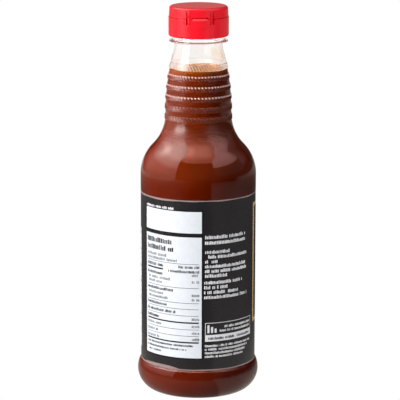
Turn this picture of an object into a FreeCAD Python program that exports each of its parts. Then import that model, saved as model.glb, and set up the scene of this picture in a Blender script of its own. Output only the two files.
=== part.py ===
import FreeCAD, Part
import math
import os

import Sketcher

# A half-litre clear sauce bottle with a flip-top cap, in millimetres, +Z up.
# The origin is the centre of the ring it stands on. The back of the bottle faces -Y,
# where the cap's hinge is.

SIZES = [
    # body
    ("body_radius", 33.08, "body above the label panel"),
    ("panel_depth", 0.2, "how far the label panel lies below the body"),
    ("panel_low", 18.0, "height of the label panel's lower edge"),
    ("panel_top", 117.4, "height of the label panel's upper edge"),
    ("panel_edge", 0.6, "height of the bevels at the panel's edges"),
    ("wall", 0.8, "wall of the body"),
    # foot
    ("foot_radius", 34.9, "widest part of the foot"),
    ("foot_height", 12.0, "height of the widest part of the foot"),
    ("foot_curve", 12.8, "radius of the foot's bulge in section"),
    ("heel_curve", 10.0, "rounding between the foot and the standing ring"),
    ("stand_width", 3.0, "width of the flat ring the bottle stands on"),
    ("base_rise", 4.5, "rise of the domed base"),
    # shoulder and neck
    ("shoulder_start", 126.7, "height where the shoulder begins to turn in"),
    ("shoulder_curve", 24.0, "radius of the shoulder's outward curve"),
    ("neck_start", 161.2, "height where the neck begins"),
    ("neck_radius", 18.87, "neck at its foot"),
    ("neck_curve", 147.0, "radius of the neck's long taper in section"),
    ("neck_end", 193.0, "height where the taper ends"),
    ("collar_top", 194.2, "height of the straight collar above the taper"),
    ("throat_base", 196.8, "height where the plain throat begins"),
    ("throat_radius", 14.0, "throat at its base"),
    ("throat_taper", 0.45, "radius the throat loses up to the support ring"),
    # rope-like bands round the neck
    ("band_count", 6, "raised bands round the neck"),
    ("first_band", 160.0, "height of the lowest band's crest"),
    ("band_pitch", 5.85, "distance between bands"),
    ("band_tall", 3.2, "height of one band"),
    ("band_depth", 0.32, "relief of the bands"),
    # finish
    ("ring_height", 203.3, "height of the middle of the support ring"),
    ("ring_radius", 16.7, "support ring"),
    ("ring_thick", 0.8, "thickness of the support ring"),
    ("ring_tip", 0.5, "radius of the support ring's edge in section"),
    ("finish_radius", 14.55, "outside of the mouth"),
    ("bore_radius", 12.3, "inside of the mouth"),
    ("mouth_height", 214.1, "height of the mouth's rim"),
    ("rim_round", 0.5, "rounding of the mouth's outer edge"),
    # contents
    ("fill_height", 187.1, "level of the sauce"),
    ("sauce_gap", 0.1, "clearance between sauce and wall"),
    # label
    ("label_margin", 0.3, "bare panel above and below the label"),
    ("label_thick", 0.1, "thickness of the label"),
    ("label_gap", 0.03, "clearance between label and panel"),
    ("lap_width", 8.0, "width of the label's overlap, along the wrap"),
    ("lap_turn", 5.5, "turn of the visible end of the label from the back, degrees"),
    # cap base
    ("cap_turn", 3.2, "turn of the cap's hinge from the back, degrees"),
    ("cap_radius", 17.15, "outside of the cap"),
    ("cap_wall", 1.6, "wall of the cap's skirt"),
    ("base_height", 11.1, "from the cap's lower edge to the parting line"),
    ("skirt_depth", 8.2, "from the cap's lower edge to the deck"),
    ("deck_thick", 1.2, "thickness of the deck"),
    ("edge_round", 1.2, "rounding of the cap's lower edge"),
    ("spout_radius", 4.6, "outside of the spout"),
    ("spout_bore", 3.1, "hole through the spout"),
    ("spout_rise", 3.0, "spout above the deck"),
    ("spout_round", 0.4, "rounding of the spout's rim"),
    # lid
    ("parting_gap", 0.25, "gap between cap base and closed lid"),
    ("lid_step", 0.22, "how much smaller the lid is than the cap at the gap"),
    ("lid_draft", 0.35, "radius the lid loses up to its top"),
    ("lid_height", 6.1, "from the parting line to the lid's flat top edge"),
    ("lid_crown", 0.25, "rise of the lid's top at its middle"),
    ("lid_wall", 1.5, "wall of the lid"),
    ("lid_round", 1.5, "rounding of the lid's top edge"),
    ("plug_gap", 0.5, "clearance between the lid's plug and the spout"),
    ("plug_reach", 1.5, "how far the plug goes into the spout"),
    ("tab_reach", 1.3, "thumb tab beyond the lid"),
    ("tab_thick", 1.6, "thickness of the thumb tab"),
    ("tab_angle", 40.0, "arc of the thumb tab, degrees"),
    # hinge
    ("hinge_fit", 0.05, "clearance round the hinge pieces"),
    ("hinge_depth", 1.3, "depth of the recesses that hold the hinge"),
    ("strap_angle", 30.0, "arc of the middle strap, degrees"),
    ("strap_rise", 1.1, "strap above the parting line"),
    ("strap_drop", 0.7, "strap below the parting line"),
    ("strap_reach", 0.4, "strap beyond the cap"),
    ("web_turn", 23.2, "turn of each side web from the strap's middle, degrees"),
    ("web_angle", 9.0, "arc of each side web, degrees"),
    ("web_rise", 4.8, "side web above the parting line"),
    ("web_drop", 3.1, "side web below the parting line"),
    ("web_thick", 0.3, "thickness of each side web"),
    ("web_bow", 0.3, "how far each side web is creased inward at the parting line"),
]


def new_document():
    """The document, with the driving sizes in a spreadsheet."""
    document = FreeCAD.newDocument("SauceBottle")
    sheet = document.addObject("Spreadsheet::Sheet", "Sizes")
    for row, (alias, value, note) in enumerate(SIZES, start=1):
        sheet.set(f"A{row}", alias)
        sheet.set(f"B{row}", str(value))
        sheet.set(f"C{row}", note)
        sheet.setAlias(f"B{row}", alias)
    document.recompute()
    return document, sheet


doc, sizes = new_document()


def cell(alias):
    """How an expression refers to a size."""
    return f"Sizes.{alias}"


def value_of(expression):
    """The number that an expression gives."""
    found = sizes.evalExpression(expression)
    return float(getattr(found, "Value", found))


# ---- bodies, sketches and features


def new_body(name):
    body = doc.addObject("PartDesign::Body", name)
    body.Label = name
    return body


def origin_item(body, role):
    return next(item for item in body.Origin.OriginFeatures if item.Role == role)


def upright_sketch(body, name, turn=None):
    """A sketch through the vertical axis, turned about it by an expression in degrees.
    Unturned, the sketch's x runs along +X and its y along +Z."""
    sketch = body.newObject("Sketcher::SketchObject", name)
    sketch.AttachmentSupport = [(origin_item(body, "XZ_Plane"), "")]
    sketch.MapMode = "FlatFace"
    if turn:
        start = FreeCAD.Rotation(FreeCAD.Vector(0, 1, 0), 1)
        sketch.AttachmentOffset = FreeCAD.Placement(FreeCAD.Vector(), start)
        sketch.setExpression("AttachmentOffset.Rotation.Angle", f"({turn}) * 1 deg")
    return sketch


def bind(sketch, constraint, expression):
    """Adds a constraint whose value follows an expression."""
    index = sketch.addConstraint(constraint)
    sketch.setExpression(f"Constraints[{index}]", expression)


def place_corner(sketch, edge, end, x, z):
    """Ties one end of an edge to its distances from the axis and from the zero level."""
    if abs(value_of(x)) < 1e-9:
        sketch.addConstraint(Sketcher.Constraint("PointOnObject", edge, end, -2))
    else:
        side = Sketcher.Constraint("DistanceX", -1, 1, edge, end, value_of(x))
        bind(sketch, side, x)
    if abs(value_of(z)) < 1e-9:
        sketch.addConstraint(Sketcher.Constraint("PointOnObject", edge, end, -1))
    else:
        level = Sketcher.Constraint("DistanceY", -1, 1, edge, end, value_of(z))
        bind(sketch, level, z)


def arc_between(start, end, radius):
    """A short arc from start to end. A positive radius bends to the left of the way there."""
    chord = end - start
    across = FreeCAD.Vector(-chord.y, chord.x, 0).normalize()
    half = chord.Length / 2
    rise = abs(radius) - math.sqrt(radius * radius - half * half)
    middle = (start + end) / 2 - across * math.copysign(rise, radius)
    return Part.Arc(start, middle, end)


def outline(sketch, corners):
    """A closed outline. Each corner is (x, z) or (x, z, bend), where bend is the signed radius
    of the arc to the next corner; all are expressions. A positive bend turns left on the way,
    so that its centre lies to the left."""
    points = [FreeCAD.Vector(value_of(c[0]), value_of(c[1]), 0) for c in corners]
    for index, corner in enumerate(corners):
        start = points[index]
        end = points[(index + 1) % len(points)]
        if len(corner) == 2:
            sketch.addGeometry(Part.LineSegment(start, end))
        else:
            sketch.addGeometry(arc_between(start, end, value_of(corner[2])))
    ends = []
    for index, corner in enumerate(corners):
        ends.append(edge_ends(sketch, index, points[index]))
    for index, corner in enumerate(corners):
        following = (index + 1) % len(corners)
        joint = Sketcher.Constraint("Coincident", index, ends[index][1], following, ends[following][0])
        sketch.addConstraint(joint)
    for index, corner in enumerate(corners):
        place_corner(sketch, index, ends[index][0], corner[0], corner[1])
        if len(corner) == 3:
            size = Sketcher.Constraint("Radius", index, abs(value_of(corner[2])))
            bind(sketch, size, f"abs({corner[2]})")
    return sketch


def edge_ends(sketch, index, start):
    """Which end number of an edge is its start on the way round, and which is its end."""
    first = sketch.getPoint(index, 1)
    return (1, 2) if first.distanceToPoint(start) < 1e-6 else (2, 1)


def revolve(body, sketch, name, kind="Revolution", angle=None):
    """A full turn about the vertical axis, or an arc that lies evenly to both sides."""
    feature = body.newObject(f"PartDesign::{kind}", name)
    feature.Profile = sketch
    feature.ReferenceAxis = (origin_item(body, "Z_Axis"), [""])
    if angle:
        feature.Midplane = True
        feature.setExpression("Angle", angle)
    else:
        feature.Angle = 360
    return feature


def section(body, name, corners, kind="Revolution", turn=None, angle=None):
    """A revolved feature from the corners of its half section."""
    sketch = outline(upright_sketch(body, f"{name}_sketch", turn), corners)
    return revolve(body, sketch, name, kind, angle)


def round_rings(body, name, radius, rings):
    """Rounds circular edges, each given by its radius and height."""
    doc.recompute()
    base = body.Tip
    wanted = [(value_of(r), value_of(z)) for r, z in rings]
    names = []
    for number, edge in enumerate(base.Shape.Edges, start=1):
        if edge.Degenerated or not isinstance(edge.Curve, Part.Circle):
            continue
        size = edge.Curve.Radius
        level = edge.Curve.Center.z
        if any(abs(size - r) < 0.01 and abs(level - z) < 0.01 for r, z in wanted):
            names.append(f"Edge{number}")
    fillet = body.newObject("PartDesign::Fillet", name)
    fillet.Base = (base, names)
    fillet.setExpression("Radius", radius)
    return fillet


# ---- shapes shared by the bottle, its contents and its label

PANEL_RADIUS = f"({cell('body_radius')} - {cell('panel_depth')})"
FOOT_CENTRE = f"({cell('foot_radius')} - {cell('foot_curve')})"
HEEL_CENTRE = (
    f"({FOOT_CENTRE} + sqrt(({cell('foot_curve')} - {cell('heel_curve')})^2"
    f" - ({cell('foot_height')} - {cell('heel_curve')})^2))"
)
STAND_INNER = f"({HEEL_CENTRE} - {cell('stand_width')})"
LABEL_LOW = f"({cell('panel_low')} + {cell('label_margin')})"
LABEL_TOP = f"({cell('panel_top')} - {cell('label_margin')})"
LABEL_INNER = f"({PANEL_RADIUS} + {cell('label_gap')})"


def dome_radius(inset):
    """The radius of the base's dome, for the surface that lies inset above the outside."""
    plain = f"(({STAND_INNER}^2 + {cell('base_rise')}^2) / (2 * {cell('base_rise')}))"
    return f"({plain} + {inset})"


def dome_foot(inset):
    """Where that dome meets the level of the floor."""
    centre = f"({cell('base_rise')} - {dome_radius('0')})"
    return f"(sqrt({dome_radius(inset)}^2 - ({inset} - {centre})^2))"


def lower_corners(inset):
    """From the middle of the base out to the label panel, at a depth inset in the wall."""
    foot = f"({cell('foot_curve')} - {inset})"
    share = f"{foot} / ({cell('foot_curve')} - {cell('heel_curve')})"
    heel_x = f"({FOOT_CENTRE} + ({HEEL_CENTRE} - {FOOT_CENTRE}) * {share})"
    heel_z = f"({cell('foot_height')} - ({cell('foot_height')} - {cell('heel_curve')}) * {share})"
    bulge_z = f"({cell('panel_low')} - {cell('panel_edge')})"
    bulge_x = f"({FOOT_CENTRE} + sqrt({foot}^2 - ({bulge_z} - {cell('foot_height')})^2))"
    return [
        ("0", f"({cell('base_rise')} + {inset})", f"-{dome_radius(inset)}"),
        (dome_foot(inset), inset),
        (HEEL_CENTRE, inset, f"{cell('heel_curve')} - {inset}"),
        (heel_x, heel_z, foot),
        (bulge_x, bulge_z),
        (f"({PANEL_RADIUS} - {inset})", cell("panel_low")),
    ]


def shoulder_corners(inset):
    """From the body to the foot of the neck, as two arcs that meet smoothly."""
    fall = f"({cell('body_radius')} - {cell('neck_radius')})"
    climb = f"({cell('neck_start')} - {cell('shoulder_start')})"
    both = f"(({fall}^2 + {climb}^2) / (2 * {fall}))"
    outward = f"({cell('shoulder_curve')} - {inset})"
    inward = f"({both} - {cell('shoulder_curve')} + {inset})"
    meet_x = f"({cell('body_radius')} - {cell('shoulder_curve')} + ({both} - {fall}) * {outward} / {both})"
    meet_z = f"({cell('shoulder_start')} + {climb} * {outward} / {both})"
    return [
        (f"({cell('body_radius')} - {inset})", cell("shoulder_start"), outward),
        (meet_x, meet_z, f"-{inward}"),
    ]


def neck_at(height, inset):
    """The neck's radius at a height, at a depth inset in the wall."""
    curve = f"({cell('neck_curve')} - {inset})"
    drop = f"({height} - {cell('neck_start')})"
    return f"({cell('neck_radius')} - {cell('neck_curve')} + sqrt({curve}^2 - {drop}^2))"


def body_corners(inset, neck_top):
    """The whole outline from the middle of the base up to a height on the neck."""
    panel = f"({PANEL_RADIUS} - {inset})"
    plain = f"({cell('body_radius')} - {inset})"
    return [
        *lower_corners(inset),
        (panel, cell("panel_top")),
        (plain, f"({cell('panel_top')} + {cell('panel_edge')})"),
        *shoulder_corners(inset),
        (f"({cell('neck_radius')} - {inset})", cell("neck_start"), f"{cell('neck_curve')} - {inset}"),
        (neck_at(neck_top, inset), neck_top),
    ]


# ---- the bottle


def add_bands(body):
    """Raised bands on the neck, each a low rounded ring rooted in the wall."""
    relief = cell("band_depth")
    ring = f"(({cell('band_tall')}^2 / 4 + {relief}^2) / (2 * {relief}))"
    for number in range(int(value_of(cell("band_count")))):
        level = f"({cell('first_band')} + {number} * {cell('band_pitch')})"
        face = neck_at(level, "0")
        root = f"({face} - {cell('wall')} / 2)"
        low = f"({level} - {cell('band_tall')} / 2)"
        high = f"({level} + {cell('band_tall')} / 2)"
        corners = [(face, low, ring), (face, high), (root, high), (root, low)]
        section(body, f"Band{number + 1}", corners)


def make_bottle():
    """A hollow bottle: body with a label panel, domed base, shoulder, banded neck, support ring
    and mouth."""
    body = new_body("bottle")
    collar = neck_at(cell("neck_end"), "0")
    ring_low = f"({cell('ring_height')} - {cell('ring_thick')} / 2)"
    ring_high = f"({cell('ring_height')} + {cell('ring_thick')} / 2)"
    throat_top = f"({cell('throat_radius')} - {cell('throat_taper')})"
    bulge = f"({cell('ring_tip')} - sqrt({cell('ring_tip')}^2 - {cell('ring_thick')}^2 / 4))"
    tip = f"({cell('ring_radius')} - {bulge})"
    outside = [
        *body_corners("0", cell("neck_end")),
        (collar, cell("collar_top")),
        (cell("throat_radius"), cell("throat_base")),
        (throat_top, ring_low),
        (tip, ring_low, cell("ring_tip")),
        (tip, ring_high),
        (cell("finish_radius"), ring_high),
        (cell("finish_radius"), cell("mouth_height")),
        ("0", cell("mouth_height")),
    ]
    section(body, "Outside", outside)
    add_bands(body)
    wall = cell("wall")
    inside = [
        *body_corners(wall, cell("neck_end")),
        (cell("bore_radius"), cell("ring_height")),
        (cell("bore_radius"), cell("mouth_height")),
        ("0", cell("mouth_height")),
    ]
    section(body, "Inside", inside, kind="Groove")
    round_rings(body, "RimRounding", cell("rim_round"), [(cell("finish_radius"), cell("mouth_height"))])
    return body


def make_sauce():
    """The sauce, solid up to its level."""
    body = new_body("sauce")
    inset = f"({cell('wall')} + {cell('sauce_gap')})"
    level = cell("fill_height")
    section(body, "Contents", [*body_corners(inset, level), ("0", level)])
    return body


def make_label():
    """A thin wrap-round label whose one end laps over the other."""
    body = new_body("label")
    outer = f"({LABEL_INNER} + {cell('label_thick')})"
    wrap = [
        (LABEL_INNER, LABEL_LOW),
        (outer, LABEL_LOW),
        (outer, LABEL_TOP),
        (LABEL_INNER, LABEL_TOP),
    ]
    section(body, "Wrap", wrap)
    lap_outer = f"({outer} + {cell('label_thick')})"
    lap_angle = f"({cell('lap_width')} / {outer} * 180 / pi)"
    lap = [
        (f"({outer} - {cell('label_thick')} / 2)", LABEL_LOW),
        (lap_outer, LABEL_LOW),
        (lap_outer, LABEL_TOP),
        (f"({outer} - {cell('label_thick')} / 2)", LABEL_TOP),
    ]
    turn = f"({cell('lap_turn')} - 90 + {lap_angle} / 2)"
    section(body, "Lap", lap, turn=turn, angle=lap_angle)
    return body


# ---- the cap, in a frame of its own that stands on the cap's lower edge

DECK_TOP = f"({cell('skirt_depth')} + {cell('deck_thick')})"
SPOUT_TOP = f"({DECK_TOP} + {cell('spout_rise')})"
PARTING = cell("base_height")
LID_LOW = f"({PARTING} + {cell('parting_gap')})"
LID_TOP = f"({PARTING} + {cell('lid_height')})"
LID_RADIUS = f"({cell('cap_radius')} - {cell('lid_step')})"
CAP_INNER = f"({cell('cap_radius')} - {cell('cap_wall')})"
RECESS_FLOOR = f"({cell('cap_radius')} - {cell('hinge_depth')})"


def seat_on_mouth(body):
    """Puts a piece of the cap on the mouth's rim, with its hinge turned from the back."""
    body.Placement = FreeCAD.Placement(FreeCAD.Vector(), FreeCAD.Rotation(FreeCAD.Vector(0, 0, 1), 1))
    body.setExpression("Placement.Base.z", f"{cell('mouth_height')} - {cell('skirt_depth')}")
    body.setExpression("Placement.Rotation.Angle", f"{cell('cap_turn')} * 1 deg")


def recess_corners(low, high):
    """A recess in the cap's outside, open outward and as deep as the hinge pieces need."""
    beyond = f"({cell('cap_radius')} + 2 * {cell('hinge_depth')})"
    return [(RECESS_FLOOR, low), (beyond, low), (beyond, high), (RECESS_FLOOR, high)]


def cut_hinge_recesses(body):
    """The recesses that the strap and both side webs lie in."""
    fit = cell("hinge_fit")
    fit_angle = f"({fit} / {cell('cap_radius')} * 360 / pi)"
    strap_low = f"({PARTING} - {cell('strap_drop')} - {fit})"
    strap_high = f"({PARTING} + {cell('strap_rise')} + {fit})"
    web_low = f"({PARTING} - {cell('web_drop')} - {fit})"
    web_high = f"({PARTING} + {cell('web_rise')} + {fit})"
    strap_arc = f"({cell('strap_angle')} + {fit_angle})"
    web_arc = f"({cell('web_angle')} + {fit_angle})"
    section(body, "StrapRecess", recess_corners(strap_low, strap_high), "Groove", "-90", strap_arc)
    for side, sign in (("Left", "-"), ("Right", "+")):
        turn = f"(-90 {sign} {cell('web_turn')})"
        section(body, f"{side}Recess", recess_corners(web_low, web_high), "Groove", turn, web_arc)


def make_cap_base():
    """The screw-on part of the cap: skirt, deck, spout, and recesses for the hinge."""
    body = new_body("cap_base")
    corners = [
        (cell("spout_bore"), cell("skirt_depth")),
        (CAP_INNER, cell("skirt_depth")),
        (CAP_INNER, "0"),
        (cell("cap_radius"), "0"),
        (cell("cap_radius"), PARTING),
        (CAP_INNER, PARTING),
        (CAP_INNER, DECK_TOP),
        (cell("spout_radius"), DECK_TOP),
        (cell("spout_radius"), SPOUT_TOP),
        (cell("spout_bore"), SPOUT_TOP),
    ]
    section(body, "Skirt", corners)
    round_rings(body, "EdgeRounding", cell("edge_round"), [(cell("cap_radius"), "0")])
    spout_rim = [(cell("spout_radius"), SPOUT_TOP), (cell("spout_bore"), SPOUT_TOP)]
    round_rings(body, "SpoutRounding", cell("spout_round"), spout_rim)
    cut_hinge_recesses(body)
    seat_on_mouth(body)
    return body


def make_cap_lid():
    """The flip lid: a shallow drafted cup with a rounded top, a plug and a thumb tab."""
    body = new_body("cap_lid")
    plug = f"({cell('spout_bore')} - {cell('plug_gap')})"
    plug_low = f"({SPOUT_TOP} - {cell('plug_reach')})"
    ceiling = f"({LID_TOP} - {cell('lid_wall')})"
    inner = f"({LID_RADIUS} - {cell('lid_wall')})"
    top_radius = f"({LID_RADIUS} - {cell('lid_draft')})"
    crown = f"(({top_radius}^2 + {cell('lid_crown')}^2) / (2 * {cell('lid_crown')}))"
    corners = [
        ("0", plug_low),
        (plug, plug_low),
        (plug, ceiling),
        (inner, ceiling),
        (inner, LID_LOW),
        (LID_RADIUS, LID_LOW),
        (top_radius, LID_TOP, crown),
        ("0", f"({LID_TOP} + {cell('lid_crown')})"),
    ]
    section(body, "Shell", corners)
    round_rings(body, "TopRounding", cell("lid_round"), [(top_radius, LID_TOP)])
    tab_top = f"({LID_LOW} + {cell('tab_thick')})"
    root = f"({LID_RADIUS} - {cell('lid_wall')} / 2)"
    tip = f"({LID_RADIUS} + {cell('tab_reach')})"
    tab = [(root, LID_LOW), (tip, LID_LOW), (tip, tab_top), (root, tab_top)]
    section(body, "ThumbTab", tab, turn="90", angle=cell("tab_angle"))
    cut_hinge_recesses(body)
    seat_on_mouth(body)
    return body


def make_strap():
    """The hinge's middle strap: a ridge along the parting line that slopes up to the lid."""
    body = new_body("hinge_strap")
    back = f"({RECESS_FLOOR} + {cell('hinge_fit')})"
    low = f"({PARTING} - {cell('strap_drop')})"
    high = f"({PARTING} + {cell('strap_rise')})"
    ridge = f"({cell('cap_radius')} + {cell('strap_reach')})"
    corners = [
        (back, low),
        (cell("cap_radius"), low),
        (ridge, PARTING),
        (ridge, f"({PARTING} + {cell('strap_drop')} / 2)"),
        (f"({LID_RADIUS} - {cell('lid_draft')} / 2)", high),
        (back, high),
    ]
    section(body, "Ridge", corners, turn="-90", angle=cell("strap_angle"))
    seat_on_mouth(body)
    return body


def make_web(name, sign):
    """One of the hinge's two side webs: a thin strip, creased inward at the parting line."""
    body = new_body(name)
    low = f"({PARTING} - {cell('web_drop')})"
    high = f"({PARTING} + {cell('web_rise')})"
    face = f"({LID_RADIUS} - {cell('lid_draft')})"
    crease = f"({face} - {cell('web_bow')})"
    corners = [
        (f"({face} - {cell('web_thick')})", low),
        (face, low),
        (crease, PARTING),
        (face, high),
        (f"({face} - {cell('web_thick')})", high),
        (f"({crease} - {cell('web_thick')})", PARTING),
    ]
    turn = f"(-90 {sign} {cell('web_turn')})"
    section(body, "Strip", corners, turn=turn, angle=cell("web_angle"))
    seat_on_mouth(body)
    return body


# ---- making, checking and writing the pieces


def check(pieces):
    """Stops if anything in the document failed, or if a piece isn't one sound solid."""
    for item in doc.Objects:
        if "Invalid" in item.State or "Error" in item.State:
            raise RuntimeError(f"{item.Name} failed: {item.State}")
    for piece in pieces:
        shape = piece.Shape
        if shape.isNull() or not shape.isValid() or len(shape.Solids) != 1:
            raise RuntimeError(f"{piece.Label} isn't one sound solid")


def write(pieces):
    """One STEP file for each piece, named after it."""
    os.makedirs("parts", exist_ok=True)
    for piece in pieces:
        piece.Shape.exportStep(f"parts/{piece.Label}.step")
        box = piece.Shape.BoundBox
        print(f"{piece.Label}: {piece.Shape.Volume / 1000:.2f} ml, z {box.ZMin:.2f} to {box.ZMax:.2f}")


pieces = [
    make_bottle(),
    make_sauce(),
    make_label(),
    make_cap_base(),
    make_cap_lid(),
    make_strap(),
    make_web("hinge_web_left", "-"),
    make_web("hinge_web_right", "+"),
]
doc.recompute()
check(pieces)
write(pieces)
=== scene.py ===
import math

import bpy
from mathutils import Euler, Matrix, Vector


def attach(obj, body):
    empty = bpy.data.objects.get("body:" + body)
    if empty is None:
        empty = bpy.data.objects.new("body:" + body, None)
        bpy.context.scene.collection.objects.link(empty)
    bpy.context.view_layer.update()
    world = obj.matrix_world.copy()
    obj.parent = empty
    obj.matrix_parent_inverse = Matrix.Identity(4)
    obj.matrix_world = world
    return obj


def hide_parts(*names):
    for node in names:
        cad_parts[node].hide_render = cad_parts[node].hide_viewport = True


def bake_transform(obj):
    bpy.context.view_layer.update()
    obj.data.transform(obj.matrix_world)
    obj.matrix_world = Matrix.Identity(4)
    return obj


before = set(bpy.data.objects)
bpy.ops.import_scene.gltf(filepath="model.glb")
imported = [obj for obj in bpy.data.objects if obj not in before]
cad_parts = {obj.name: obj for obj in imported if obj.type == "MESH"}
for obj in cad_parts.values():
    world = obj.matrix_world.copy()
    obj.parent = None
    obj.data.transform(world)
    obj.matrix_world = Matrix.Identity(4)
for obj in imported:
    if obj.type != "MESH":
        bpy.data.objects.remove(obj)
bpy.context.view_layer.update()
print("frame loaded")

mm = 0.001


# making meshes

def linked(name, data):
    # an object in the scene
    made = bpy.data.objects.new(name, data)
    bpy.context.scene.collection.objects.link(made)
    return made


def newPiece(name, points, faces, smoothAngle=40):
    # points in millimetres, put straight where they belong
    mesh = bpy.data.meshes.new(name)
    mesh.from_pydata([(x * mm, y * mm, z * mm) for x, y, z in points], [], faces)
    mesh.validate()
    mesh.polygons.foreach_set("use_smooth", [True] * len(mesh.polygons))
    mesh.set_sharp_from_angle(angle=math.radians(smoothAngle))
    return linked(name, mesh)


def arc(centreR, centreZ, radius, fromDegrees, toDegrees, steps):
    # points (r, z) along an arc, both ends included
    points = []
    for step in range(steps + 1):
        angle = math.radians(fromDegrees + (toDegrees - fromDegrees) * step / steps)
        points.append((centreR + radius * math.cos(angle), centreZ + radius * math.sin(angle)))
    return points


def softened(profile, size, sharpest=14):
    # rounds each corner that turns by more than sharpest degrees
    done = [profile[0]]
    for before, corner, after in zip(profile, profile[1:], profile[2:]):
        inX, inZ = corner[0] - before[0], corner[1] - before[1]
        outX, outZ = after[0] - corner[0], after[1] - corner[1]
        lengthIn, lengthOut = math.hypot(inX, inZ), math.hypot(outX, outZ)
        turn = abs(math.degrees(math.atan2(inX * outZ - inZ * outX, inX * outX + inZ * outZ)))
        if turn < sharpest:
            done.append(corner)
            continue
        reach = min(size, lengthIn * 0.45, lengthOut * 0.45)
        start = (corner[0] - inX / lengthIn * reach, corner[1] - inZ / lengthIn * reach)
        end = (corner[0] + outX / lengthOut * reach, corner[1] + outZ / lengthOut * reach)
        for share in (0, 0.25, 0.5, 0.75, 1):
            a, b, c = (1 - share) ** 2, 2 * share * (1 - share), share ** 2
            done.append((a * start[0] + b * corner[0] + c * end[0], a * start[1] + b * corner[1] + c * end[1]))
    done.append(profile[-1])
    return done


def divided(profile, longest):
    # adds points so that no stretch of the profile is longer than longest
    done = [profile[0]]
    for start, end in zip(profile, profile[1:]):
        parts = max(1, math.ceil(math.dist(start, end) / longest))
        for part in range(1, parts + 1):
            share = part / parts
            done.append((start[0] + (end[0] - start[0]) * share, start[1] + (end[1] - start[1]) * share))
    return done


def turned(name, profile, columns, lift=None):
    # a surface of revolution; ends on the axis close in a point
    # a third number in a profile point multiplies the columns there
    # lift(angle, r, z) may change r and z as the profile goes round
    points, rings = [], []
    for r, z, *finer in profile:
        if r < 1e-6:
            rings.append([len(points)] * columns)
            points.append((0, 0, z))
            continue
        count = columns * (finer[0] if finer else 1)
        rings.append([])
        for column in range(count):
            angle = 2 * math.pi * column / count
            ringR, ringZ = lift(angle, r, z) if lift else (r, z)
            rings[-1].append(len(points))
            points.append((ringR * math.cos(angle), ringR * math.sin(angle), ringZ))
    faces = []
    for low, high in zip(rings, rings[1:]):
        shared = min(len(low), len(high))
        for column in range(shared):
            corners = []
            for ring, backwards in ((low, False), (high, True)):
                parts = len(ring) // shared
                row = [ring[(column * parts + part) % len(ring)] for part in range(parts + 1)]
                corners += row[::-1] if backwards else row
            kept = [c for place, c in enumerate(corners) if c not in corners[:place]]
            if len(kept) > 2:
                faces.append(kept)
    return newPiece(name, points, faces)


def slab(name, columns):
    # a closed sheet from upright columns (along, low, high, back, front), in the label's flat frame:
    # x runs along the wrap from the middle of the back, y is depth outwards, z is height
    points, faces = [], []
    for along, low, high, back, front in columns:
        points += [(along, front, low), (along, front, high), (along, back, high), (along, back, low)]
    for column in range(len(columns) - 1):
        a, b = column * 4, column * 4 + 4
        for side in range(4):
            following = (side + 1) % 4
            faces.append([a + side, b + side, b + following, a + following])
    last = (len(columns) - 1) * 4
    faces.append([0, 1, 2, 3])
    faces.append([last + 3, last + 2, last + 1, last])
    return newPiece(name, points, faces)


def joined(name, pieces):
    # one piece from several
    points, faces = [], []
    for piece in pieces:
        start = len(points)
        points += [tuple(v.co / mm) for v in piece.data.vertices]
        faces += [[start + i for i in face.vertices] for face in piece.data.polygons]
        bpy.data.objects.remove(piece)
    return newPiece(name, points, faces)


# making node trees

def newNode(tree, kind, feeds=None, **settings):
    # a node with its settings; feeds maps an input's name or number to a value or to a socket
    made = tree.nodes.new(kind)
    for name, value in settings.items():
        setattr(made, name, value)
    for place, feed in (feeds or {}).items():
        if isinstance(feed, bpy.types.NodeSocket):
            tree.links.new(feed, made.inputs[place])
        else:
            made.inputs[place].default_value = feed
    return made


def add(tree, kind, feeds=None, result=0, **settings):
    # a new node's result
    return newNode(tree, kind, feeds, **settings).outputs[result]


def fed(kind, feeds, result=0, **settings):
    # the result of a new node in the tree that its feeds come from
    tree = next(feed.id_data for feed in feeds.values() if isinstance(feed, bpy.types.NodeSocket))
    return add(tree, kind, feeds, result, **settings)


def calc(operation, *feeds):
    # a Math node's result
    return fed("ShaderNodeMath", dict(enumerate(feeds)), operation=operation)


def product(first, *others):
    for other in others:
        first = calc("MULTIPLY", first, other)
    return first


def mapped(value, fromLow, fromHigh, toLow=0.0, toHigh=1.0, curve="LINEAR"):
    # takes a value from one range to another and stops at its ends
    feeds = {"Value": value, "From Min": fromLow, "From Max": fromHigh, "To Min": toLow, "To Max": toHigh}
    return fed("ShaderNodeMapRange", feeds, interpolation_type=curve)


def between(amount, first, second):
    # a number between two
    return fed("ShaderNodeMix", {0: amount, 2: first, 3: second})


def tinted(amount, first, second):
    # a colour between two; each is three numbers or a socket
    feeds = {0: amount}
    for number, color in ((6, first), (7, second)):
        feeds[number] = color if isinstance(color, bpy.types.NodeSocket) else (*color, 1)
    return fed("ShaderNodeMix", feeds, 2, data_type="RGBA")


def vector(operation, feeds, result=0):
    # a Vector Math node's result
    return fed("ShaderNodeVectorMath", feeds, result, operation=operation)


def mixedShader(amount, first, second):
    return fed("ShaderNodeMixShader", {0: amount, 1: first, 2: second})


def placeIn(tree):
    # a point's place in object space: the vector, and its x, y and z
    if tree.bl_idname == "GeometryNodeTree":
        where = add(tree, "GeometryNodeInputPosition")
    else:
        where = add(tree, "ShaderNodeTexCoord", result="Object")
    return [where, *newNode(tree, "ShaderNodeSeparateXYZ", {0: where}).outputs]


def newTree(name, numbers, **others):
    # a Geometry Nodes tree with named inputs
    tree = bpy.data.node_groups.new(name, "GeometryNodeTree")
    tree.is_modifier = True
    kinds = {"Geometry": "Geometry", **dict.fromkeys(numbers, "Float"), **others, "Material": "Material"}
    for label, kind in kinds.items():
        tree.interface.new_socket(label, in_out="INPUT", socket_type=f"NodeSocket{kind}")
    tree.interface.new_socket("Geometry", in_out="OUTPUT", socket_type="NodeSocketGeometry")
    return tree, tree.nodes.new("NodeGroupInput").outputs


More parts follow.
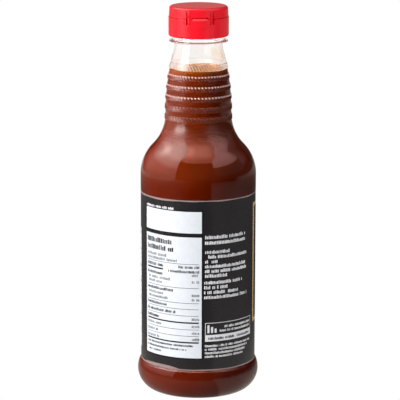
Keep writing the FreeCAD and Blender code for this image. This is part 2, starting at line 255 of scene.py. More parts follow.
def endTree(geometry, material, **special):
    # the usual end: Realize Instances and Set Material; special faces may get another material
    real = fed("GeometryNodeRealizeInstances", {"Geometry": geometry})
    painted = fed("GeometryNodeSetMaterial", {"Geometry": real, "Material": material})
    if special:
        painted = fed("GeometryNodeSetMaterial", {"Geometry": painted, **special})
    tree = geometry.id_data
    tree.links.new(painted, tree.nodes.new("NodeGroupOutput").inputs[0])


def grown(piece, tree, values):
    # runs a tree on a piece and keeps the result as its plain mesh
    modifier = piece.modifiers.new(tree.name, "NODES")
    modifier.node_group = tree
    for socket in tree.interface.items_tree:
        if socket.in_out == "INPUT" and socket.name in values:
            modifier[socket.identifier] = values[socket.name]
    graph = bpy.context.evaluated_depsgraph_get()
    mesh = bpy.data.meshes.new_from_object(piece.evaluated_get(graph))
    piece.modifiers.remove(modifier)
    plain = piece.data
    piece.data = mesh
    bpy.data.meshes.remove(plain)
    mesh.name = piece.name


def shader(name, **settings):
    # a material with one Principled shader, and its tree
    material = bpy.data.materials.new(name)
    material.use_nodes = True
    tree = material.node_tree
    gloss = tree.nodes["Principled BSDF"]
    for label, value in settings.items():
        gloss.inputs[label.replace("_", " ")].default_value = value
    return material, tree, gloss


def bareMaterial(name):
    # a material with no shader yet, and its tree
    material, tree, gloss = shader(name)
    tree.nodes.remove(gloss)
    return material, tree


def wired(gloss, **feeds):
    for label, feed in feeds.items():
        gloss.id_data.links.new(feed, gloss.inputs[label.replace("_", " ")])


def surfaced(surface):
    tree = surface.id_data
    tree.links.new(surface, tree.nodes["Material Output"].inputs["Surface"])


def grain(tree, size, detail=3, stretch=(1, 1, 1)):
    # noise in object space whose lumps are about size millimetres
    where = add(tree, "ShaderNodeTexCoord", result="Object")
    stretched = fed("ShaderNodeMapping", {"Vector": where, "Scale": stretch})
    feeds = {"Vector": stretched, "Scale": 1 / (size * mm), "Detail": detail}
    return fed("ShaderNodeTexNoise", feeds, "Fac")


def spread(value, low=0.0, high=1.0):
    # takes noise to the range from low to high
    return mapped(value, 0.3, 0.7, low, high)


def dented(gloss, height, distance, strength=1.0):
    bump = fed("ShaderNodeBump", {"Height": height, "Distance": distance * mm, "Strength": strength})
    wired(gloss, Normal=bump)


def place(piece, material, slotName, body="bottle", stands=()):
    # gives a finished piece its material if it has none, hides the frame's parts that it stands for, and puts
    # it under its body
    if not piece.data.materials:
        piece.data.materials.append(material)
    if stands:
        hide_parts(*stands)
    if body:
        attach(piece, body)


# the bottle's form, in millimetres

bottleForm = {
    "wall": 0.8,
    "bodyRadius": 33.08,
    "panelRadius": 32.88,
    "panelLow": 18.0,
    "panelTop": 117.4,
    "ledge": 0.6,
    "footRadius": 34.9,
    "footHeight": 12.0,
    "footCurve": 12.8,
    "heelCurve": 10.0,
    "standWidth": 3.0,
    "baseRise": 4.5,
    "shoulderStart": 126.7,
    "shoulderCurve": 24.0,
    "neckStart": 161.2,
    "neckRadius": 18.87,
    "neckCurve": 147.0,
    "neckEnd": 193.0,
    # inward and up from the neck's end
    "flare": [(0.2, 1.0), (0.65, 2.4), (1.15, 4.2), (1.55, 6.2), (1.8, 8.2)],
    "throatTop": 13.5,
    "ringLow": 202.9,
    "ringHigh": 203.7,
    "ringRadius": 16.7,
    "finishRadius": 14.55,
    "boreRadius": 12.3,
    "mouth": 214.1,
}

bands = {
    "firstBand": 160.0,
    "pitch": 5.85,
    "count": 6,
    "tall": 3.2,
    "relief": 0.47,
    "bevel": 0.23,  # share of half a band over which a rib's end falls away
    "ribs": 58,
    "slant": 3.5,  # how far the ribs lean over half a band, in radians of their wave
    "columns": 116,
    "finer": 4,
    "rows": (0.4, 0.69, 0.77, 0.85, 0.93, 1, 1.06, 1.3),  # shares of half a band where the mesh has a row
}


def neckRadiusAt(z, inset=0):
    form = bottleForm
    curve = form["neckCurve"] - inset
    return form["neckRadius"] - form["neckCurve"] + math.sqrt(curve ** 2 - (z - form["neckStart"]) ** 2)


def flareRadiusAt(z):
    # outside radius of the flare above the neck
    form = bottleForm
    collar = neckRadiusAt(form["neckEnd"])
    steps = [(0, 0), *form["flare"], (collar - form["throatTop"], form["ringLow"] - form["neckEnd"])]
    for (fallLow, low), (fallHigh, high) in zip(steps, steps[1:]):
        if z <= form["neckEnd"] + high:
            break
    share = (z - form["neckEnd"] - low) / (high - low)
    return collar - fallLow - (fallHigh - fallLow) * share


def bodyProfile(inset, neckTop, neckStep):
    # from the middle of the base to a height on the neck, at a depth inset in the wall
    form = bottleForm
    footCentre = form["footRadius"] - form["footCurve"]
    drop = form["footHeight"] - form["heelCurve"]
    slack = form["footCurve"] - form["heelCurve"]
    heelCentre = footCentre + math.sqrt(slack ** 2 - drop ** 2)
    meet = -math.degrees(math.atan2(drop, heelCentre - footCentre))
    standInner = heelCentre - form["standWidth"]
    domeRadius = (standInner ** 2 + form["baseRise"] ** 2) / (2 * form["baseRise"])
    domeAngle = math.degrees(math.asin(standInner / domeRadius))
    domeCentre = form["baseRise"] - domeRadius
    points = arc(0, domeCentre, domeRadius + inset, 90, 90 - domeAngle, 10)
    points[0] = (0, form["baseRise"] + inset)
    points[-1] = (points[-1][0], inset)
    points += arc(heelCentre, form["heelCurve"], form["heelCurve"] - inset, -90, meet, 12)
    foot = form["footCurve"] - inset
    top = math.degrees(math.asin((form["panelLow"] - form["ledge"] - form["footHeight"]) / foot))
    points += arc(footCentre, form["footHeight"], foot, meet, top, 14)[1:]
    points += [(form["panelRadius"] - inset, form["panelLow"])]
    points += [(form["panelRadius"] - inset, form["panelTop"])]
    points += [(form["bodyRadius"] - inset, form["panelTop"] + form["ledge"])]
    fall = form["bodyRadius"] - form["neckRadius"]
    climb = form["neckStart"] - form["shoulderStart"]
    both = (fall ** 2 + climb ** 2) / (2 * fall)
    swing = math.degrees(math.acos((both - fall) / both))
    outward = form["shoulderCurve"] - inset
    inward = both - form["shoulderCurve"] + inset
    points += arc(form["bodyRadius"] - form["shoulderCurve"], form["shoulderStart"], outward, 0, swing, 16)
    centre = form["neckRadius"] + both - form["shoulderCurve"]
    points += arc(centre, form["neckStart"], inward, 180 + swing, 180, 16)[1:]
    z = form["neckStart"] + neckStep
    while z < neckTop - neckStep / 2:
        points.append((neckRadiusAt(z, inset), z))
        z += neckStep
    points.append((neckRadiusAt(neckTop, inset), neckTop))
    return points


def bandRows():
    # heights on the neck, close together where a rope band rises
    shares = [-share for share in bands["rows"][::-1]] + [0, *bands["rows"]]
    middles = [bands["firstBand"] + band * bands["pitch"] for band in range(bands["count"])]
    return [middle + across * bands["tall"] / 2 for middle in middles for across in shares]


def shellProfile():
    # outside up, over the mouth, inside down
    form = bottleForm
    collar = neckRadiusAt(form["neckEnd"])
    lowest = bandRows()[0] - 0.3
    outside = softened([point for point in bodyProfile(0, form["neckEnd"], 1) if point[1] < lowest], 0.45)
    outside = divided(outside, 4)
    for z in bandRows():
        r = neckRadiusAt(z) if z > form["neckStart"] else form["neckRadius"] + (form["neckStart"] - z) ** 2 / 50
        outside.append((r, z, bands["finer"]))
    flare = [(collar - fall, form["neckEnd"] + climb) for fall, climb in form["flare"]]
    above = [
        (neckRadiusAt(form["neckEnd"] - 0.6), form["neckEnd"] - 0.6),
        (collar, form["neckEnd"]),
        *flare,
        (form["throatTop"], form["ringLow"]),
        (form["ringRadius"], form["ringLow"]),
        (form["ringRadius"], form["ringHigh"]),
        (form["finishRadius"], form["ringHigh"]),
        (form["finishRadius"], form["mouth"]),
        (form["boreRadius"], form["mouth"]),
    ]
    inside = bodyProfile(form["wall"], form["neckEnd"], 3)
    inside += [(r - form["wall"], z) for r, z in flare]
    inside += [(form["throatTop"] - form["wall"], form["ringLow"] - 1), (form["boreRadius"], form["ringHigh"])]
    inside = softened(inside, 1.0)
    return outside + divided(softened(above, 0.45), 4) + divided(inside[::-1], 6)


# the clear bottle with its rope bands

plastic = {
    "smooth": 0.03,  # roughness of the plain wall
    "dull": 0.28,  # roughness of the ropes and of the moulded sweep below them
    "sweepStarts": (0.145, 0.151),  # metres
    "sweepEnds": (0.153, 0.159),
    "turns": 4.5,  # light that has bounced more often in the wall goes straight out
}


def nearestRope(counted, last):
    # the number of the rope nearest to a height counted in ropes
    return calc("MINIMUM", calc("MAXIMUM", calc("ROUND", counted), 0.0), last)


def ribWave(x, y, across, ribs, slant):
    # 1 on the crest of each rib, -1 between two; across runs from -1 to 1 up a rope
    phase = product(calc("ARCTAN2", y, x), ribs)
    return calc("COSINE", calc("ADD", phase, product(across, slant)))


clearPlastic, tree, gloss = shader(
    "clearPlastic", Base_Color=(1, 1, 1, 1), Roughness=plastic["smooth"], IOR=1.5, Transmission_Weight=1.0)
dented(gloss, grain(tree, 9, 2, (1, 1, 0.35)), 0.25, 0.5)
clear = add(tree, "ShaderNodeBsdfTransparent")
rays = newNode(tree, "ShaderNodeLightPath").outputs
trapped = calc("GREATER_THAN", rays["Ray Depth"], plastic["turns"])
wall = mixedShader(trapped, gloss.outputs[0], clear)
surfaced(mixedShader(rays["Is Shadow Ray"], wall, clear))
z = placeIn(tree)[3]
lower = mapped(z, *plastic["sweepStarts"], plastic["smooth"], plastic["dull"])
upper = mapped(z, *plastic["sweepEnds"], plastic["dull"], plastic["smooth"])
number = calc("DIVIDE", calc("SUBTRACT", z, bands["firstBand"] * mm), bands["pitch"] * mm)
nearest = nearestRope(number, bands["count"] - 1.0)
fromRope = calc("ABSOLUTE", calc("SUBTRACT", number, nearest))
onRope = calc("LESS_THAN", fromRope, 0.5 * bands["tall"] / bands["pitch"])
roughness = calc("MAXIMUM", calc("MINIMUM", lower, upper), product(onRope, plastic["dull"]))
wired(gloss, Roughness=roughness)

# painted highlights on the upper ends of the ribs, brightest on the upper ropes
tipGlints = {
    "from": 0.5,  # shares of half a band
    "upto": 0.88,
    "crest": 0.55,  # how near to the crest of a rib's wave a tip stays
    "upperRopes": (0.168, 0.171),  # metres
    "bright": ((0.97, 0.56, 0.5), (1.0, 0.68, 0.62)),
    "dim": (0.2, 0.045, 0.03),
}
# a pale pink base colour paints the highlight dots, dimmer on the lower ropes
ribTips, tree, gloss = shader("ribTips", Roughness=0.35)
bright = tinted(spread(grain(tree, 1.5, 2)), *tipGlints["bright"])
onUpper = mapped(placeIn(tree)[3], *tipGlints["upperRopes"])
wired(gloss, Base_Color=tinted(onUpper, tipGlints["dim"], bright))

tree, given = newTree(
    "ropeBands", ("First Band", "Pitch", "Count", "Tall", "Relief", "Bevel", "Ribs", "Slant"), Tips="Material")
x, y, z = placeIn(tree)[1:]
above = calc("SUBTRACT", z, given["First Band"])
number = nearestRope(calc("DIVIDE", above, given["Pitch"]), calc("SUBTRACT", given["Count"], 1.0))
offset = calc("SUBTRACT", above, product(number, given["Pitch"]))
across = calc("DIVIDE", offset, product(given["Tall"], 0.5))
fromEnd = calc("MAXIMUM", calc("SUBTRACT", 1.0, calc("ABSOLUTE", across)), 0.0)
bulge = calc("MINIMUM", calc("DIVIDE", fromEnd, given["Bevel"]), 1.0)
crown = calc("MULTIPLY_ADD", product(across, across), -0.15, 1.0)
wave = ribWave(x, y, across, given["Ribs"], given["Slant"])
strand = calc("POWER", calc("MULTIPLY_ADD", wave, 0.48, 0.52), 2.0)
outerSide = add(tree, "GeometryNodeInputNamedAttribute", {"Name": "outside"}, data_type="FLOAT")
lift = product(bulge, crown, strand, given["Relief"], outerSide)
flat = fed("ShaderNodeCombineXYZ", {0: x, 1: y, 2: 0.0})
outward = vector("NORMALIZE", {0: flat})
push = vector("SCALE", {0: outward, "Scale": lift})
moved = fed("GeometryNodeSetPosition", {"Geometry": given["Geometry"], "Offset": push})
# the topmost rope stands clear of the sauce and gets no painted highlights on its tips
underTop = product(given["Pitch"], calc("SUBTRACT", given["Count"], 1.5))
onGlint = product(
    calc("GREATER_THAN", across, tipGlints["from"]),
    calc("LESS_THAN", across, tipGlints["upto"]),
    calc("GREATER_THAN", wave, tipGlints["crest"]),
    calc("GREATER_THAN", outerSide, 0.5),
    calc("LESS_THAN", above, underTop))
endTree(moved, given["Material"], Selection=onGlint, Material=given["Tips"])
ropeTree = tree

shell = turned("clearBottle", shellProfile(), bands["columns"])
outsideMark = shell.data.attributes.new("outside", "FLOAT", "POINT")
marks = []
for vertex in shell.data.vertices:
    r, z = math.hypot(vertex.co.x, vertex.co.y) / mm, vertex.co.z / mm
    onNeck = bottleForm["neckStart"] - 4 < z < bottleForm["neckEnd"]
    marks.append(1.0 if onNeck and r > neckRadiusAt(max(z, bottleForm["neckStart"])) - 0.4 else 0.0)
outsideMark.data.foreach_set("value", marks)
grown(shell, ropeTree, {
    "First Band": bands["firstBand"] * mm, "Pitch": bands["pitch"] * mm, "Count": float(bands["count"]),
    "Tall": bands["tall"] * mm, "Relief": bands["relief"] * mm, "Bevel": bands["bevel"],
    "Ribs": float(bands["ribs"]), "Slant": bands["slant"], "Material": clearPlastic, "Tips": ribTips})
place(shell, clearPlastic, "clear_plastic", stands=["bottle"])
print("bottle made")


# the sauce

sauceForm = {
    "level": 187.1,
    "intoWall": 0.35,  # how far the sauce reaches into the wall, so that no gap shows
    "climb": 0.5,  # how far it creeps up the wall
    "edgeWaves": ((0.22, 2, 0.6), (0.12, 5, 2)),  # height, waves round the wall, and shift
    "columns": 144,
    "deep": ((0.104, 0.0078, 0.0005), (0.118, 0.0098, 0.0006)),
    # the sauce is painted lighter in the shoulder and neck, as painted light falling in from above
    "neck": ((0.142, 0.0155, 0.001), (0.158, 0.0185, 0.0014)),
    "paintedLightFrom": (0.121, 0.134),  # metres
    "rim": (0.28, 0.062, 0.002),
    "rimTall": 5.0,
    # a pale top colour, as painted light from above
    "surface": ((0.68, 0.3, 0.07), (0.85, 0.5, 0.17)),
}

sauceSkin, tree, gloss = shader("sauceSkin", Roughness=0.5, Specular_IOR_Level=0.0)
cloud = spread(grain(tree, 14, 4))
z = placeIn(tree)[3]
level, rimTall = sauceForm["level"] * mm, sauceForm["rimTall"] * mm
# painted light: the sauce turns lighter upwards through the shoulder, and lighter again just under its level
atRim = calc("POWER", mapped(z, level - rimTall, level), 2.0)
litFromAbove = mapped(z, *sauceForm["paintedLightFrom"], curve="SMOOTHSTEP")
tint = tinted(litFromAbove, tinted(cloud, *sauceForm["deep"]), tinted(cloud, *sauceForm["neck"]))
wired(gloss, Base_Color=tinted(atRim, tint, sauceForm["rim"]))

# the sauce's top is painted pale orange, far lighter than the sauce, as painted light falling on it from above
sauceTop, tree, gloss = shader("sauceTop", Roughness=0.12, Coat_Weight=0.3, Coat_Roughness=0.08)
wired(gloss, Base_Color=tinted(spread(grain(tree, 4, 3)), *sauceForm["surface"]))
dented(gloss, grain(tree, 5, 2), 0.3, 0.6)


def sauceEdge(angle, r, z):
    # an uneven creep line on the wall
    if z < sauceForm["level"] - 0.5:
        return r, z
    return r, z + sum(tall * math.sin(waves * angle + shift) for tall, waves, shift in sauceForm["edgeWaves"])


inset = bottleForm["wall"] - sauceForm["intoWall"]
sideProfile = softened(bodyProfile(inset, sauceForm["level"], 2.0), 0.6)
wallRadius = sideProfile[-1][0]
side = divided(sideProfile, 4) + [(wallRadius - 0.1, sauceForm["level"] + sauceForm["climb"])]
surface = [(wallRadius - 0.9, sauceForm["level"]), (wallRadius - 2.4, sauceForm["level"] - 0.15)]
surface += [(wallRadius * share, sauceForm["level"] - 0.2) for share in (0.6, 0.3, 0)]
sauce = turned("sauce", side + surface, sauceForm["columns"], lift=sauceEdge)
sauce.data.materials.append(sauceSkin)
sauce.data.materials.append(sauceTop)
for face in sauce.data.polygons:
    onTop = face.normal.z > 0.3 and face.center.z > (sauceForm["level"] - 1) * mm
    face.material_index = 1 if onTop else 0
place(sauce, sauceSkin, "sauce", stands=["sauce"])

# thin sauce left on the wall above the level
residue = {
    "top": 202.5,
    "offWall": 0.06,
    "thin": (0.96, 0.62, 0.25),
    "thick": (0.5, 0.2, 0.04),
    "wet": 0.75,  # how much is left near the level
    "rim": 0.0012,  # metres above the topmost rope where that ends
    "rimFade": (-0.0004, 0.0006),
    "ragged": 0.0016,
    "betweenRibs": (-0.1, 0.6),  # where in the ribs' wave it thickens
    "nearSide": (-0.003, 0.002),
    "stainAt": (0.0099, -0.0088, 0.1975),  # metres
    "stainReach": (0.001, 0.007),
    "stain": (0.32, 0.04),
    "sideFrom": (0.0118, 0.0134),
    "sideAbove": 0.003,
    "side": 0.5,
}
wallFilm, tree = bareMaterial("wallFilm")
where, x, y, z = placeIn(tree)
# sauce kept between the ribs of the topmost rope
topBand = (bands["firstBand"] + bands["pitch"] * (bands["count"] - 1)) * mm
fromBand = calc("DIVIDE", calc("SUBTRACT", z, topBand), bands["tall"] / 2 * mm)
groove = mapped(ribWave(x, y, fromBand, float(bands["ribs"]), bands["slant"]), *residue["betweenRibs"])
ragged = spread(grain(tree, 5, 3, (1, 1, 0.2)), -residue["ragged"], residue["ragged"])
overRim = calc("ADD", calc("SUBTRACT", z, topBand + residue["rim"]), ragged)
lowHere = mapped(overRim, *residue["rimFade"], 1.0, 0.0)
nearSide = mapped(y, *residue["nearSide"], 1.0, 0.0)
wet = product(lowHere, nearSide)
stain = vector("DISTANCE", {0: where, 1: residue["stainAt"]}, "Value")
stain = mapped(stain, *residue["stainReach"], *residue["stain"])
sideStain = mapped(x, *residue["sideFrom"], 0.0, residue["side"])
sideStain = product(sideStain, calc("GREATER_THAN", z, topBand + residue["sideAbove"]))
amount = calc("MAXIMUM", stain, sideStain)
amount = calc("MAXIMUM", amount, product(wet, residue["wet"]))
thin = tinted(amount, (1, 1, 1), residue["thin"])
color = tinted(product(wet, groove), thin, residue["thick"])
surfaced(fed("ShaderNodeBsdfTransparent", {0: color}))
filmWall = bottleForm["wall"] + residue["offWall"]
filmProfile = []
for step in range(25):
    z = sauceForm["level"] - 0.6 + (residue["top"] - sauceForm["level"] + 0.6) * step / 24
    onNeck = z <= bottleForm["neckEnd"]
    filmProfile.append((neckRadiusAt(z, filmWall) if onNeck else flareRadiusAt(z) - filmWall, z))
film = turned("sauceFilm", filmProfile, sauceForm["columns"])
place(film, wallFilm, "sauce")
print("sauce made")


# the label

labelForm = {
    "radius": 32.91,  # inside of the film
    "thick": 0.1,
    "low": 18.3,
    "high": 117.1,
    "lap": 8.0,
    "lapEnd": 3.2,  # where the visible end lies, along the wrap
    "ink": 0.03,  # how far print stands out
    "markRise": (0.66, 1.0),  # how much of a row's height the small marks take
    "markBroad": (0.5, 0.88),  # and how much of the space between them
}
outerRadius = labelForm["radius"] + labelForm["thick"]
aroundLabel = 2 * math.pi * outerRadius
wrapValues = {
    "Radius": outerRadius * mm,
    "Lap Start": labelForm["lapEnd"] * mm,
    "Lap": labelForm["lap"] * mm,
    "Thick": labelForm["thick"] * mm,
}

# bends flat pieces round the bottle, and lifts them where the film laps over its own end
tree, given = newTree("wrapRound", ("Radius", "Lap Start", "Lap", "Thick"))
x, y, z = placeIn(tree)[1:]
turn = calc("DIVIDE", x, given["Radius"])
past = calc("SUBTRACT", x, given["Lap Start"])
fallen = calc("SUBTRACT", calc("DIVIDE", past, given["Lap"]), 1.0)
over = mapped(fallen, 0.0, 0.6, 1.0, 0.0, "SMOOTHSTEP")
raised = product(over, calc("GREATER_THAN", past, -0.00001), given["Thick"])
reach = calc("ADD", calc("ADD", y, given["Radius"]), raised)
bentX = product(reach, calc("SINE", turn))
bentY = product(reach, calc("COSINE", turn), -1.0)
bent = fed("ShaderNodeCombineXYZ", {0: bentX, 1: bentY, 2: z})
moved = fed("GeometryNodeSetPosition", {"Geometry": given["Geometry"], "Position": bent})
endTree(moved, given["Material"])
wrapTree = tree


def randomValue(seed, kind, feeds):
    made = newNode(seed.id_data, "FunctionNodeRandomValue", {**feeds, "Seed": seed}, data_type=kind)
    return [socket for socket in made.outputs if socket.enabled][0]


# rows of small upright marks that stand for lines of small print
tree, given = newTree(
    "printMarks", ("Spacing", "Gaps", "Depth", "Radius", "Lap Start", "Lap", "Thick"), Seed="Int")
lines = fed("GeometryNodeMeshToCurve", {"Mesh": given["Geometry"]})
tall = add(tree, "GeometryNodeInputNamedAttribute", {"Name": "tall"}, data_type="FLOAT")
apart = product(tall, given["Spacing"])
spaced = fed("GeometryNodeResampleCurve", {"Curve": lines, "Length": apart}, mode="LENGTH")
dots = fed("GeometryNodeCurveToPoints", {"Curve": spaced}, mode="EVALUATED")
blank = randomValue(given["Seed"], "BOOLEAN", {"Probability": given["Gaps"]})
words = fed("GeometryNodeDeleteGeometry", {"Geometry": dots, "Selection": blank}, domain="POINT")
block = add(tree, "GeometryNodeMeshCube", {"Size": (1, 1, 1)})
based = fed("GeometryNodeTransform", {"Geometry": block, "Translation": (0, 0, 0.5)})
rise = randomValue(given["Seed"], "FLOAT", dict(zip((2, 3), labelForm["markRise"])))
broad = randomValue(calc("ADD", given["Seed"], 7), "FLOAT", dict(zip((2, 3), labelForm["markBroad"])))
size = fed("ShaderNodeCombineXYZ", {0: product(apart, broad), 1: given["Depth"], 2: product(tall, rise)})
stamped = fed("GeometryNodeInstanceOnPoints", {"Points": words, "Instance": based, "Scale": size})
real = fed("GeometryNodeRealizeInstances", {"Geometry": stamped})
passedOn = {label: given[label] for label in (*wrapValues, "Material")}
wrapped = fed("GeometryNodeGroup", {"Geometry": real, **passedOn}, node_tree=wrapTree)
endTree(wrapped, given["Material"])
marksTree = tree


def inkMaterial(name, color, roughness):
    # printed film: even colour with faint mottling and a fine satin grain
    material, tree, gloss = shader(name, Roughness=roughness, Specular_IOR_Level=0.5)
    mottled = tinted(spread(grain(tree, 3, 4)), [c * 0.95 for c in color], color)
    satin = spread(grain(tree, 6, 3), roughness - 0.05, roughness + 0.06)
    wired(gloss, Base_Color=mottled, Roughness=satin)
    dented(gloss, grain(tree, 0.5, 2), 0.02, 0.3)
    return material


# colour and roughness of each print ink, and of the unprinted film
inkLooks = {
    "charcoalInk": ((0.0135, 0.0125, 0.0142), 0.27),
    "blackInk": ((0.006, 0.006, 0.007), 0.34),
    "whiteInk": ((0.575, 0.6, 0.635), 0.36),
    "paleInk": ((0.62, 0.62, 0.64), 0.36),
    "greyInk": ((0.16, 0.17, 0.18), 0.36),
    "goldInk": ((0.52, 0.34, 0.15), 0.3),
    "creamInk": ((0.78, 0.66, 0.46), 0.34),
    # the margins' pinkish grey is partly a painted highlight of the bottle's ledge
    "marginFilmAndLedgeHighlight": ((0.25, 0.175, 0.165), 0.3),
}
inks = {name: inkMaterial(name, *look) for name, look in inkLooks.items()}


def field(along, upto, low, high, layer=1, step=1.0):
    # a flat field of print; low and high may be numbers or functions of the place along the wrap
    count = max(1, math.ceil((upto - along) / step))
    columns = []
    for number in range(count + 1):
        here = along + (upto - along) * number / count
        bottom = low(here) if callable(low) else low
        top = high(here) if callable(high) else high
        columns.append((here, bottom, top, labelForm["ink"] * (layer - 1), labelForm["ink"] * layer))
    return slab("field", columns)


def printFields(name, ink, fields):
    piece = joined(name, fields)
    grown(piece, wrapTree, {**wrapValues, "Material": inks[ink]})
    place(piece, inks[ink], "label_film")


def printLines(name, ink, rows, spacing=0.5, gaps=0.13, seed=1, layer=2):
    # rows of (along, upto, height, tall)
    mesh = bpy.data.meshes.new(name)
    points, edges = [], []
    for along, upto, height, tall in rows:
        points += [(along * mm, 0, height * mm), (upto * mm, 0, height * mm)]
        edges.append((len(points) - 2, len(points) - 1))
    mesh.from_pydata(points, edges, [])
    marks = mesh.attributes.new("tall", "FLOAT", "POINT")
    marks.data.foreach_set("value", [row[3] * mm for row in rows for end in range(2)])
    piece = linked(name, mesh)
    grown(piece, marksTree, {
        **wrapValues, "Spacing": spacing, "Gaps": gaps, "Depth": 2 * labelForm["ink"] * layer * mm,
        "Seed": seed, "Material": inks[ink]})
    place(piece, inks[ink], "label_film")


# the film itself: one strip that laps over its own start
strip = []
steps = 300
for number in range(steps + 1):
    here = labelForm["lapEnd"] + (aroundLabel + labelForm["lap"]) * number / steps
    low = labelForm["low"] + 0.06 * math.sin(here / 5)
    strip.append((here, low, labelForm["high"] + 0.05 * math.sin(here / 7), -labelForm["thick"], 0))
filmPiece = slab("labelFilm", strip)
grown(filmPiece, wrapTree, {**wrapValues, "Material": inks["charcoalInk"]})
place(filmPiece, inks["charcoalInk"], "label_film", stands=["label"])

# nutrition side, in millimetres along the wrap and up
panel = {
    "left": -35.7,
    "right": 2.1,
    "blankLow": 98.3,
    "blankHigh": 110.7,
    "tableLow": 25.6,
    "tableHigh": 96.0,
    "border": 0.9,
    "inLeft": -34.1,
    "inRight": 0.5,
    "thinRules": (80.4, 66.5, 57.7, 54.2, 50.3, 42.3, 38.5),
    "thickRules": (46.3, 34.7),
}
borders = []
for low, high in ((panel["blankLow"], panel["blankHigh"]), (panel["tableLow"], panel["tableHigh"])):
    edge = panel["border"]
    borders.append(field(panel["left"] - edge, panel["right"] + edge, low - edge, high + edge, 1))
printFields("panelBorders", "blackInk", borders)
whites = [
    field(panel["left"], panel["right"], panel["blankLow"], panel["blankHigh"], 2),
    field(panel["left"], panel["right"], panel["tableLow"], panel["tableHigh"], 2),
]
printFields("whitePanels", "whiteInk", whites)

rules = []
for heights, reach in ((panel["thinRules"], 0.12), (panel["thickRules"], 0.42)):
    rules += [field(panel["inLeft"], panel["inRight"], z - reach, z + reach, 3) for z in heights]
rules += [field(panel["inLeft"], -21.2, 75.9, 76.8, 3)]
printFields("tableRules", "blackInk", rules)

# rows of print: along the wrap from, up to, height, and how tall they are
headings = [(-33.9, -16, 91.2, 3.0), (-33.9, -15, 87.0, 3.0)]
printLines("tableHeadings", "blackInk", headings, spacing=0.42, gaps=0.08, seed=3, layer=3)
boldRows = [(-33.9, -21.4, 77.6, 1.9), (-11, 0.4, 77.9, 1.6), (-17.5, 0.4, 75.2, 1.6)]
ends = ((-22, 72.8), (-15, 63.9), (-19, 55.2), (-13.5, 51.4), (-24.5, 47.5))
boldRows += [(-33.9, end, z, 1.7) for end, z in ends]
boldRows += [(-33.9, -3, 32.2, 1.2), (-33.9, -7, 29.9, 1.2), (-32.5, -23, 27.6, 1.2)]
printLines("tableBoldRows", "blackInk", boldRows, spacing=0.46, gaps=0.08, seed=5, layer=3)
lightRows = [(-33.9, -19.5, 83.6, 1.8), (-33.9, -12.6, 81.3, 1.7)]
lightRows += [(-32.6, end, z, 1.6) for end, z in ((-17, 70.2), (-20.5, 67.9), (-21.5, 61.4), (-18.5, 59.0))]
lightRows += [(-33.9, end, z, 1.6) for end, z in ((-23, 43.5), (-25.5, 39.6), (-24.5, 35.7))]
lightRows += [(-3.2, 0.4, z, 1.6) for z in (73.2, 69.3, 61.6, 59.0, 47.6, 43.4, 39.5, 35.8)]
printLines("tableLightRows", "greyInk", lightRows, spacing=0.55, gaps=0.1, seed=9, layer=3)

sideText = [(4.3, 30.5, 95.1, 2.1), (4.3, 30.5, 91.9, 2.1)]
sideText += [(4.3, end, 86.6 - 2.77 * row, 1.95) for row, end in enumerate((18.4, 32, 10.8, 30.6, 31.6, 16.8))]
sideText += [(3.8, end, 68.9 - 2.85 * row, 1.95) for row, end in enumerate((27.9, 17.1, 24.6, 32.3))]
sideText += [(16.0, 35.5, 43.0, 1.5), (13.0, 35.5, 40.7, 1.5)]
sideText += [(4.2, end, 32.2 - 2.1 * row, 1.35) for row, end in enumerate((36, 33, 31, 29))]
sideText += [(-35.2, -12.6, 111.3, 1.5)]
printLines("sideText", "paleInk", sideText, spacing=0.46, gaps=0.07, seed=12)

# a plain framed note with three bars in place of a badge
note = {"left": 4.1, "right": 37.3, "low": 35.4, "high": 46.3, "line": 0.3, "foot": 39.2}
left, right, low, high, line, foot = note.values()
frameLines = [
    field(left, right, high - line, high),
    field(left, left + line, foot, high),
    field(right - line, right, foot, high),
    field(left, right, low, foot),
]
for number in range(3):
    start = 5.4 + 2.1 * number
    frameLines.append(field(start, start + 1.2, 40.4, 45.0 - 1.1 * number))
printFields("noteFrame", "paleInk", frameLines)
noteRows = [(6, 22, 36.4, 1.6), (24.5, 35, 36.4, 1.6)]
printLines("noteText", "charcoalInk", noteRows, spacing=0.5, gaps=0.12, seed=20)


# unprinted margins at the film's edges, pale in part as a painted highlight of the bottle's ledge; the lower
# one bulges wider at one place
margin = {
    "top": 116.5,
    "dip": 0.35,
    "dipUpto": -12,
    "low": 18.95,
    "bulge": 1.3,
    "bulgeAt": -25,
    "bulgeHalf": 14,
}


def topMargin(here):
    calm = 0.5 + 0.5 * math.tanh((margin["dipUpto"] - here) / 2)
    return margin["top"] - margin["dip"] * calm + 0.12 * math.sin(here / 3)


def bottomMargin(here):
    bulge = max(0.0, 1 - abs((here - margin["bulgeAt"]) / margin["bulgeHalf"]) ** 3)
    return margin["low"] + margin["bulge"] * bulge + 0.1 * math.sin(here / 4)


around = (-aroundLabel / 2, aroundLabel / 2)
margins = [
    field(*around, topMargin, labelForm["high"] + 0.05, step=0.8),
    field(*around, labelForm["low"] - 0.05, bottomMargin, step=0.8),
]
printFields("labelMarginsAndLedgeHighlight", "marginFilmAndLedgeHighlight", margins)

# front and left side: a plain generic design
front = {"left": 41.0, "right": 124.0, "low": 41.5, "high": 111.5, "frame": 2, "ovalAt": 82}
middle = (front["left"] + front["right"]) / 2


def oval(along, reachAlong, reachUp, layer, step=1.0):
    # a field of print in the shape of an oval round a place along the wrap
    def edge(sign):
        return lambda here: front["ovalAt"] + sign * reachUp * math.sqrt(
            max(0.0, 1 - ((here - along) / reachAlong) ** 2))
    return field(along - reachAlong, along + reachAlong, edge(-1), edge(1), layer, step)


